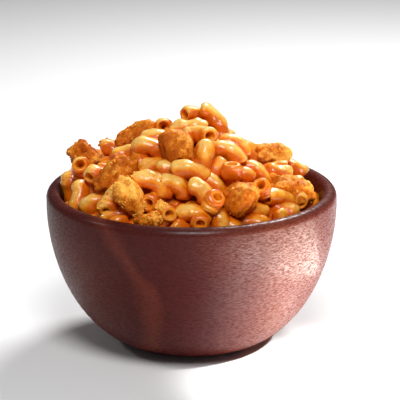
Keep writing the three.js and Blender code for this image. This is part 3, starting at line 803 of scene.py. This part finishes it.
def drawTube(draw, depth):
    # a tube of random place and direction that lies about level at a depth under the mound
    angle = draw() * 2 * math.pi
    mid = onMound(angle, math.sqrt(draw()) * 0.94, depth)
    mid[2] -= hollowDepth(mid[0], mid[1])
    turn = draw() * 2 * math.pi
    up = unit(np.array([math.cos(angle) * 0.5, math.sin(angle) * 0.5, 1]))
    flat = np.array([math.cos(turn), math.sin(turn), 0])
    flat = unit(flat - up * flat.dot(up))
    along = unit(flat + up * (draw() - 0.5) * 0.9)
    roll = draw() * 2 * math.pi
    side = unit(np.cross(along, up))
    rise = np.cross(side, along)
    bulge = side * math.cos(roll) + rise * math.sin(roll)
    length = fill["shortest"] + (fill["longest"] - fill["shortest"]) * draw()
    bend = fill["bendLeast"] + (fill["bendMost"] - fill["bendLeast"]) * draw()
    return {"mid": mid, "along": along, "bulge": bulge, "length": length, "bend": bend}


def hides(own, others, reach):
    # whether any ball of the first lies before any of the others in the guest's view
    apart = own[:, None] - others[None]
    near = apart @ viewNear
    aside = np.sqrt(np.maximum((apart**2).sum(-1) - near**2, 0))
    return bool(((near > 0) & (aside < reach)).any())


def aboveSkyline(own, laidBalls, crusts, crustRadii):
    # whether any ball stands out over the top of all that is laid, in the guest's view
    others = np.vstack([laidBalls, crusts])
    tops = others @ viewUp + np.append(np.full(len(laidBalls), pasta["radius"]), crustRadii)
    apart = np.abs((own @ viewRight)[:, None] - (others @ viewRight)[None])
    sky = np.where(apart < pasta["radius"] * 0.6, tops[None], -1000).max(1)
    return bool((own @ viewUp + pasta["radius"] > sky - 1).any())


def sinkBehind(tubes, laidBalls, crusts, crustRadii):
    # lowers the tubes that stand out over all that is laid, until they are out of the guest's sight
    for i in range(len(tubes["mid"])):
        for _ in range(12):
            own = tubeBalls({key: value[i : i + 1] for key, value in tubes.items()})[0]
            if aboveSkyline(own, laidBalls, crusts, crustRadii):
                tubes["mid"][i, 2] -= 1
    return tubes


def fillIn(laidBalls, crusts, crustRadii, draw, plan, hidden=False):
    # tubes that fall where there is still room, until there are enough; unless they are hidden, they may
    # hide nothing that was laid
    balls = laidBalls
    room = 2 * pasta["radius"] * plan["spacing"]
    found = []
    for _ in range(plan["tries"]):
        if len(found) >= plan["count"]:
            break
        row = drawTube(draw, plan["depth"])
        own = tubeBalls(gather([row]))[0]
        if not hasRoom(own, balls, room, crusts, crustRadii):
            continue
        hidesLaid = hides(own, laidBalls, pasta["radius"] * 1.3)
        if not hidden and (hidesLaid or hides(own, crusts[:frontBalls], crustRadii[:frontBalls])):
            continue
        found.append(row)
        balls = np.vstack([balls, own])
    return found


def clamp(v, most):
    size = np.linalg.norm(v, axis=-1, keepdims=True)
    return v * np.minimum(1, most / np.maximum(size, 1e-12))


def swing(tubes, twist):
    # turns each tube about its middle by a small rotation vector
    angle = np.linalg.norm(twist, axis=-1, keepdims=True)
    axis = twist / np.maximum(angle, 1e-12)
    for key in ("along", "bulge"):
        v = tubes[key]
        onAxis = axis * (axis * v).sum(-1, keepdims=True)
        tubes[key] = v * np.cos(angle) + np.cross(axis, v) * np.sin(angle) + onAxis * (1 - np.cos(angle))


def pushedOff(balls, others, room, share=1):
    # how far each ball is pushed off the others that lie nearer than the room between them
    apart = balls[:, None] - others[None]
    far = np.linalg.norm(apart, axis=-1)
    size = np.maximum(room - far, 0) * share
    return (apart / (far + 1e-6)[..., None] * size[..., None]).sum(1)


def settleTubes(tubes, crusts, crustRadii, fixed):
    # lets the tubes push each other off, away from the fixed ones, the chicken and the wall
    radius = pasta["radius"]
    wall = innerRadius - radius - gap
    home = tubes["mid"].copy()
    depth = moundTop(home[:, 0], home[:, 1]) - home[:, 2]
    count, beads = len(home), pasta["beads"]
    owner = np.repeat(np.arange(count), beads)
    for _ in range(settle["rounds"]):
        balls = tubeBalls(tubes).reshape(-1, 3)
        steps = pushedOff(balls, balls, 2 * radius, (owner[:, None] != owner[None]) / 2)
        steps += pushedOff(balls, fixed, 2 * radius)
        steps += pushedOff(balls, crusts, crustRadii + radius)
        out = np.hypot(balls[:, 0], balls[:, 1])
        over = np.maximum(out - wall, 0) * 2
        steps[:, :2] -= balls[:, :2] / out[:, None] * over[:, None]
        steps = steps.reshape(count, beads, 3)
        lever = balls.reshape(count, beads, 3) - tubes["mid"][:, None]
        push = steps.sum(1) * settle["rate"] / 2 + (home - tubes["mid"]) * settle["hold"]
        sunk = moundTop(tubes["mid"][:, 0], tubes["mid"][:, 1]) - depth - tubes["mid"][:, 2]
        push[:, 2] += np.clip(sunk, -1, 1) * settle["float"]
        tubes["mid"] = tubes["mid"] + clamp(push, 1.2)
        twist = np.cross(lever, steps).sum(1)
        ease = settle["rate"] / tubes["length"][:, None] ** 2
        swing(tubes, clamp(twist * ease * 2, 0.08))
    return tubes


def tubeSkins(tubes, around, outerSteps, innerSteps, seedNumber):
    # Each tube is a ring of cross-sections that runs out along its skin, round the cut end, back through
    # the bore and round the other end: a grid closed both ways. A point of it is
    # middle(share) + size (out cos a + side sin a), and noise moves it in or out.
    count = len(tubes["length"])
    length = tubes["length"][:, None]
    rng = np.random.default_rng(seedNumber)
    radius = pasta["radius"] * rng.uniform(*pasta["radiusSpread"], count)[:, None]
    bore = pasta["bore"] * rng.uniform(*pasta["boreSpread"], count)[:, None]
    # the cut end is round: a wide quarter ellipse outside, a small quarter circle into the bore
    lip = pasta["lip"]
    crest = radius - lip
    outerEnd = 0.5 - lip * 1.15 / length
    innerEnd = 0.5 - (crest - bore) / length
    alongSkin = np.linspace(-1, 1, outerSteps)[None] * outerEnd
    alongBore = np.linspace(1, -1, innerSteps)[None] * innerEnd
    outerTurn, innerTurn = np.radians([18, 36, 54, 72, 90])[None], np.radians([60, 30])[None]
    outerLip = outerEnd + (0.5 - outerEnd) * np.sin(outerTurn)
    innerLip = innerEnd + (0.5 - innerEnd) * np.sin(innerTurn)
    share = np.concatenate([
        alongSkin, outerLip, innerLip, alongBore, -innerLip[:, ::-1], -outerLip[:, ::-1]], 1)
    outerSize = crest + lip * np.cos(outerTurn)
    innerSize = bore + (crest - bore) * (1 - np.cos(innerTurn))
    narrowing = 0.5 + 0.5 * np.abs(np.linspace(1, -1, innerSteps)[None]) ** 3
    pitch, phase = rng.uniform(1.4, 2.6, (count, 1)), rng.uniform(0, 6.3, (count, 1))
    knobs = 1 + pasta["knobs"] * np.sin(alongSkin * 2 * math.pi * pitch + phase)
    size = np.concatenate([
        radius * knobs, outerSize * knobs[:, -1:], innerSize,
        bore * narrowing, innerSize[:, ::-1], outerSize[:, ::-1] * knobs[:, :1]], 1)
    angle = (share * np.radians(tubes["bend"])[:, None])[..., None]
    middle = onTube(tubes, share)
    out = tubes["bulge"][:, None] * np.cos(angle) + tubes["along"][:, None] * np.sin(angle)
    side = np.cross(tubes["along"], tubes["bulge"])[:, None]
    turn = np.linspace(0, 2 * math.pi, around, endpoint=False)
    flat = rng.uniform(*pasta["flattening"], count)[:, None, None]
    x = size[..., None] * np.cos(turn) * flat
    y = size[..., None] * np.sin(turn) / flat
    points = middle[:, :, None] + out[:, :, None] * x[..., None] + side[:, :, None] * y[..., None]
    rough = pasta["waves"] * (latticeNoise(points, pasta["waveSize"], 11) - 0.5)
    rough += pasta["ripples"] * (latticeNoise(points, pasta["rippleSize"], 12) - 0.5)
    outward = unit(points - middle[:, :, None])
    points = points + outward * (rough * (size / radius)[..., None] ** 2)[..., None]
    rings = share.shape[1]
    faces = copiesOf(gridFaces(rings, around, closeRows=True), rings * around, count)
    inside = np.repeat(size < (radius + bore) / 2 - 0.01, around, 1)
    tone = np.broadcast_to(rng.uniform(0, 1, count)[:, None], inside.shape)
    return points.reshape(-1, 3), faces, outward.reshape(-1, 3), inside.ravel(), tone.ravel()


def shutIn(points, outward, owners, balls, radii, ballOwners):
    # roughly the share of its sky that the balls around it take from each point, in blocks of points
    total = np.zeros(len(points))
    blockSize = 4000
    for start in range(0, len(points), blockSize):
        block = slice(start, start + blockSize)
        apart = balls[None] - points[block, None]
        far = np.maximum(np.linalg.norm(apart, axis=-1), radii)
        facing = np.maximum((apart * outward[block, None]).sum(-1) / far, 0)
        share = facing * (radii / far) ** 2 * (owners[block, None] != ballOwners[None])
        total[block] = share.sum(1)
    return total


def sauceMaterial(name, pale, mid, deep, wet):
    # from deep to pale by cloudy noise and each tube's own tone, under a wet coat; painted shade makes it
    # deeper where it is shut in, on undersides and low in the bowl, and painted light makes it paler on
    # open tops
    material, tree, shader = newMaterial(name)
    coords = mappedCoords(tree)
    cloud = rangeNode(tree, noiseNode(tree, coords, 150, 3, 0.6), (0.2, 0.8), (0.33, 0.67))
    shade = rangeNode(tree, attributeNode(tree, "shade"), (0, 1), (-0.22, 0.36))
    tone = rangeNode(tree, attributeNode(tree, "tone"), (0, 1), (-0.08, 0.07))
    paleness = mathNode(tree, "SUBTRACT", mathNode(tree, "ADD", cloud, tone), shade)
    colour = rampNode(tree, paleness, (0.26, deep), (0.45, mid), (0.68, pale))
    film = noiseNode(tree, coords, 420, 5, 0.65)
    thin = rampNode(tree, film, (0.36, (0.93, 0.88, 0.8)), (0.5, grey(1)), (0.64, (1.03, 1.06, 1.12)))
    tree.links.new(multiply(tree, colour, thin), shader.inputs["Base Color"])
    tree.links.new(rangeNode(tree, film, (0.3, 0.7), (wet, wet + 0.22)), shader.inputs["Roughness"])
    setInputs(shader, pasta["surface"])
    tree.links.new(bumpNode(tree, film, 0.0009, 0.5), shader.inputs["Normal"])
    coatWaves = noiseNode(tree, coords, 260, 3, 0.55)
    tree.links.new(bumpNode(tree, coatWaves, 0.0007, 0.5), shader.inputs["Coat Normal"])
    return material


def rideAsHeap(piece):
    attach(piece, "root")
    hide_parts("macaroni_heap")


def layMacaroni(crusts, crustRadii):
    # the laid tubes, then more in the room that they leave, then a layer under them all
    draw = seededDraw(seed)
    first = gather(layTubes(crusts, crustRadii))
    balls = tubeBalls(first).reshape(-1, 3)
    more = gather(fillIn(balls, crusts, crustRadii, draw, fill))
    more = settleTubes(more, crusts, crustRadii, balls)
    more = sinkBehind(more, balls, crusts[:frontBalls], crustRadii[:frontBalls])
    top = {key: np.concatenate([first[key], more[key]]) for key in first}
    print("macaroni on top:", len(first["length"]), "laid and", len(more["length"]), "more")
    balls = tubeBalls(top).reshape(-1, 3)
    low = gather(fillIn(balls, crusts, crustRadii, draw, under, hidden=True))
    low = settleTubes(low, crusts, crustRadii, balls)
    print("macaroni under them:", len(low["length"]))
    return top, low


# painted shade in the sauce's colour: deeper by the share of the sky shut out, on undersides, and low in
# the bowl
shading = {"shutIn": 0.32, "underside": 0.42, "low": 0.2, "lowFrom": 94, "lowSpan": 16, "bore": 0.5}
# points round a tube and steps along its skin and bore
tubeDetail = {"macaroni_top": (26, 18, 6), "macaroni_under": (16, 10, 4)}


def makeMacaroni(top, low, crusts, crustRadii):
    # returns points of the skin where a crumb would come to rest
    material = sauceMaterial("cheeseSauce", pasta["pale"], pasta["sauce"], pasta["deep"], 0.2)
    balls = np.vstack([tubeBalls(top).reshape(-1, 3), tubeBalls(low).reshape(-1, 3), crusts])
    tubeCount = len(top["mid"]) + len(low["mid"])
    radii = np.append(np.full(tubeCount * pasta["beads"], pasta["radius"]), crustRadii)
    ballOwners = np.append(np.repeat(np.arange(tubeCount), pasta["beads"]), np.full(len(crusts), -1))
    first = 0
    for name, tubes in (("macaroni_top", top), ("macaroni_under", low)):
        count = len(tubes["mid"])
        points, faces, outward, inside, tone = tubeSkins(tubes, *tubeDetail[name], 7)
        piece = makePiece(name, points, faces, material)
        owners = first + np.repeat(np.arange(count), len(points) // count)
        # painted shade: the sauce is painted deeper where the sky is shut in, on undersides and low in the
        # bowl, and the bores get a fixed middle shade
        paintedShade = shutIn(points, outward, owners, balls, radii, ballOwners) * shading["shutIn"]
        lowness = smoothStep((shading["lowFrom"] - points[:, 2]) / shading["lowSpan"])
        paintedShade = paintedShade + (1 - outward[:, 2]) * shading["underside"] + shading["low"] * lowness
        paintedShade = np.clip(paintedShade, 0, 1)
        paint(piece, "shade", np.where(inside, shading["bore"], paintedShade))
        paint(piece, "tone", tone)
        rideAsHeap(piece)
        first += count
        if name == "macaroni_top":
            resting = points[(outward[:, 2] > 0.3) & (paintedShade < 0.5) & ~inside]
    return resting


# the sauce that the lowest macaroni lies in, in millimetres under the mound
pool = {
    "depth": 13.0,
    "edgeDepth": 10.0,
    "lumps": 3.0,
    "lumpSize": 7,
    "reach": 0.994,
    "middle": 0.01,
    "floor": 40,
    "floorShare": 0.86,
    "rings": 60,
    "around": 180,
    # painted shade: a darker sauce for the pool deep in the gaps
    "paintedShadeSauce": (0.35, 0.07, 0.006),
}


def makePool():
    # A lumpy cap under the mound's surface: z = mound - depth(share) + noise, in rings about the peak.
    # A skirt and a flat floor inside the bowl close it.
    share = np.linspace(pool["middle"], 1, pool["rings"])[:, None]
    angle = np.linspace(0, 2 * math.pi, pool["around"], endpoint=False)[None]
    out = share * reachFromPeak(np.cos(angle), np.sin(angle))
    x = mound["peakX"] + out * np.cos(angle) * pool["reach"]
    y = mound["peakY"] + out * np.sin(angle) * pool["reach"]
    depth = pool["depth"] + (pool["edgeDepth"] - pool["depth"]) * share**2
    points = np.stack([x, y, moundTop(x, y) - depth - hollowDepth(x, y)], -1)
    lumps = (latticeNoise(points, pool["lumpSize"], 21) - 0.5) * pool["lumps"] * 2
    points[..., 2] += lumps * (1 - share**6)
    skirt = points[-1] * [pool["floorShare"], pool["floorShare"], 1]
    skirt[:, 2] = pool["floor"]
    ring = np.arange(pool["around"])
    lastRing = points[..., 0].size + ring
    peak, floor = lastRing[-1] + 1, lastRing[-1] + 2
    points = np.vstack([points.reshape(-1, 3), skirt, [points[0].mean(0)], [skirt.mean(0)]])
    faces = gridFaces(pool["rings"] + 1, len(ring))[:, ::-1]
    caps = np.vstack([fanFaces(peak, ring), fanFaces(floor, lastRing[::-1])])
    # the pool is painted darker than the sauce on the tubes, a painted shade of the deep gaps
    material = sauceMaterial("pooledSauce", pasta["sauce"], pasta["deep"], pool["paintedShadeSauce"], 0.25)
    piece = makePiece("pooled_sauce", points, faces, material, caps)
    paint(piece, "shade", np.full(len(points), 0.5))
    paint(piece, "tone", np.zeros(len(points)))
    rideAsHeap(piece)


# places and sizes in millimetres, powers in watts
studio = {
    "lens": 207.1,
    "aim": (4.33, 0, 74.8),
    "lampAim": (0, 0, 70),
    "key": {"at": (230, 530, 690), "size": 300, "power": 7.6},
    "fill": {"at": (50, -600, 820), "size": 400, "power": 6.1},
    "side": {"at": (-560, -60, 480), "size": 60, "power": 0.35},
    "lowCards": [
        {"at": (215, -200, 1), "size": (240, 170), "power": 0.95},
        {"at": (235, -30, 1), "size": (240, 140), "power": 1.1},
    ],
    "cardTint": (1.0, 0.89, 0.8),
    "beam": {"at": (420, -260, 500), "aim": (104, -84, 0), "angle": 15.5, "power": 84},
    "sky": 0.09,
    "ground": (0.9, 0.9, 0.9),
}


def placeAimed(name, data, at, target):
    # adds an object at a place with its -Z pointed at a target
    thing = bpy.data.objects.new(name, data)
    bpy.context.scene.collection.objects.link(thing)
    place = Vector(at) * mm
    thing.location = place
    thing.rotation_euler = (Vector(target) * mm - place).to_track_quat("-Z", "Y").to_euler()
    return thing


def addLamp(name, shape, size, power, at, target, tint=(1, 1, 1)):
    light = bpy.data.lights.new(name, "AREA")
    light.shape = shape
    light.size, light.size_y = size[0] * mm, size[1] * mm
    light.energy = power
    light.color = tint
    placeAimed(name, light, at, target).visible_camera = False


def addBeam(at, aim, angle, power):
    # a narrow light on the ground at the right, which the wood's sheen reflects
    light = bpy.data.lights.new("beam", "SPOT")
    light.spot_size = math.radians(angle)
    light.spot_blend = 0.6
    light.shadow_soft_size = 0.02
    light.energy = power
    placeAimed("beam", light, at, aim)


def makeStudio():
    for name in ("key", "fill", "side"):
        lamp = studio[name]
        addLamp(name, "DISK", (lamp["size"], lamp["size"]), lamp["power"], lamp["at"], studio["lampAim"])
    for card in studio["lowCards"]:
        x, y, z = card["at"]
        above = (x, y, z + 100)
        addLamp("lowCard", "RECTANGLE", card["size"], card["power"], card["at"], above, studio["cardTint"])
    addBeam(**studio["beam"])
    world = bpy.data.worlds.new("softRoom")
    world.use_nodes = True
    setInputs(world.node_tree.nodes["Background"], {"Color": (1, 1, 1, 1), "Strength": studio["sky"]})
    bpy.context.scene.world = world
    bpy.context.scene.view_settings.view_transform = "Standard"


def makeGround():
    material, _, shader = newMaterial("paleGround")
    setInputs(shader, {"Base Color": (*studio["ground"], 1), "Roughness": 0.9})
    mesh = bpy.data.meshes.new("ground")
    mesh.from_pydata([(-6, -6, 0), (6, -6, 0), (6, 6, 0), (-6, 6, 0)], [], [(0, 1, 2, 3)])
    mesh.materials.append(material)
    ground = bpy.data.objects.new("ground", mesh)
    bpy.context.scene.collection.objects.link(ground)


def makeCamera():
    camera = bpy.data.cameras.new("guest")
    camera.lens = studio["lens"]
    camera.sensor_width = 36
    camera.clip_end = 20
    place = np.array([0, 0, guest["height"]]) + viewNear * guest["distance"]
    bpy.context.scene.camera = placeAimed("guest", camera, tuple(place), studio["aim"])


makeCamera()
makeStudio()
makeGround()
makeBowl()
print("bowl made")
chicken = layChicken()
breading = crustMaterial()
makeChicken(chicken, breading)
print("chicken made:", len(chicken))
ballsAndRadii = [chickenBalls(piece) for piece in chicken]
crustBalls = np.concatenate([balls for balls, _ in ballsAndRadii])
crustRadii = np.repeat([radius for _, radius in ballsAndRadii], 3)
topTubes, lowTubes = layMacaroni(crustBalls, crustRadii)
restingPoints = makeMacaroni(topTubes, lowTubes, crustBalls, crustRadii)
makeCrumbs(chicken, restingPoints, breading)
makePool()
print("macaroni and sauce made")
